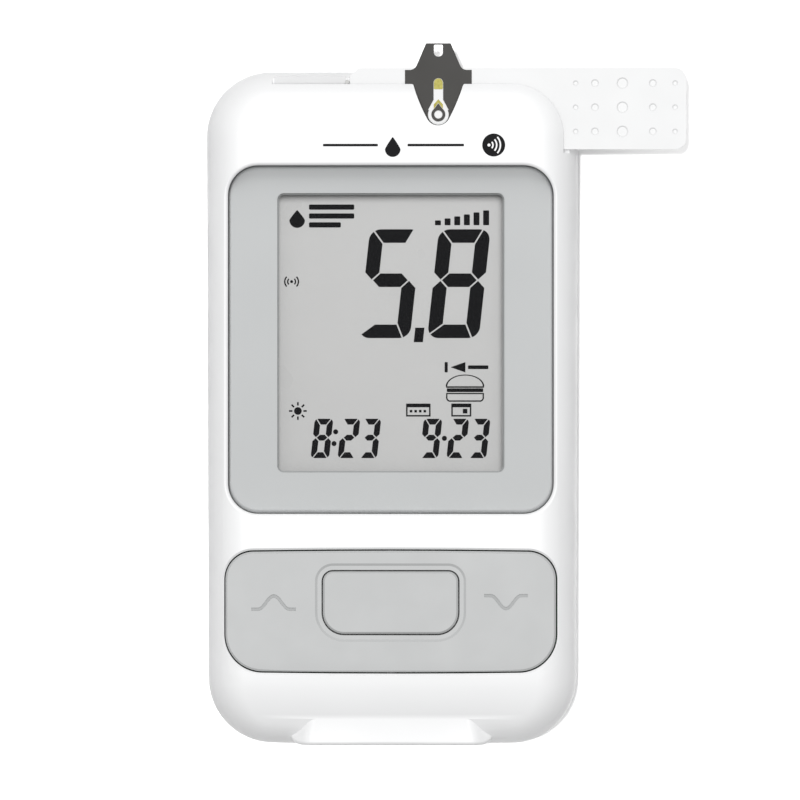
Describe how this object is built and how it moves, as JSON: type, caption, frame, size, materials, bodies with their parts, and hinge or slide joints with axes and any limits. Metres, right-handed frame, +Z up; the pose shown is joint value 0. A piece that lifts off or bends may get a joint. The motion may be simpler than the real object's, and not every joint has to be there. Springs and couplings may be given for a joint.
{
  "type": "blood glucose meter",
  "caption": "Handheld blood glucose meter with a grey display bezel, a tilting key plate round a main button, a sliding battery door and a test strip in its side slot.",
  "frame": {"origin": "middle of the flat back, on the plane that the meter lies on", "axes": "+Z up through the face, +Y towards the strip end, +X to the right seen from the front"},
  "size_m": [0.0648, 0.0946, 0.021],
  "materials": {
    "shell": "satin gloss white moulding",
    "key": "fine satin grey",
    "bezel": "satin grey",
    "lens": "clear",
    "gasket": "black foam",
    "lcd": "grey reflective liquid crystal cell",
    "holder": "white",
    "silicone": "translucent silicone",
    "connector_rubber": "striped elastomer",
    "cell": "printed sleeve",
    "steel": "nickel plated",
    "board": "solder mask",
    "chip": "moulded black",
    "black_plastic": "moulded black",
    "gold": "gold plated",
    "strip": "white film",
    "film": "dark grey print"
  },
  "bodies": {
    "casing": {"front_shell": "shell", "rear_shell": "shell", "case_screws": "steel", "display_bezel": "bezel", "display_lens": "lens", "lens_gasket": "gasket", "lcd_front_glass": "lcd", "lcd_back_glass": "lcd", "lcd_holder": "holder", "zebra_connectors": "connector_rubber", "keypad_mat": "silicone", "battery_left": "cell", "battery_right": "cell", "battery_plates": "steel", "battery_springs": "steel", "main_board": "board", "control_chip": "chip", "radio_module": "steel", "buzzer": "black_plastic", "board_parts": "chip", "strip_connector": "black_plastic", "strip_contacts": "gold", "strip_stop": "black_plastic"},
    "rocker": {"rocker_key": "key"},
    "button": {"main_button": "key"},
    "door": {"battery_door": "shell"},
    "strip": {"test_strip": "strip", "strip_cover": "film", "strip_electrodes": "gold"}
  },
  "joints": [
    {"name": "main_button_press", "type": "slide", "parent": "casing", "child": "button", "axis": [0, 0, -1], "range_m": [0, 0.0005], "stiffness_N_per_m": 2500, "deforming": ["keypad_mat"]},
    {"name": "rocker_key_tilt", "type": "hinge", "parent": "casing", "child": "rocker", "pos_m": [0, -0.02735, 0.0178], "axis": [0, 1, 0], "range_deg": [-1.5, 1.5], "stiffness_Nm_per_rad": 1.2},
    {"name": "battery_door_slide", "type": "slide", "parent": "casing", "child": "door", "axis": [0, -1, 0], "range_m": [0, 0.056]},
    {"name": "test_strip_slide", "type": "slide", "parent": "casing", "child": "strip", "axis": [1, 0, 0], "range_m": [0, 0.045]}
  ]
}
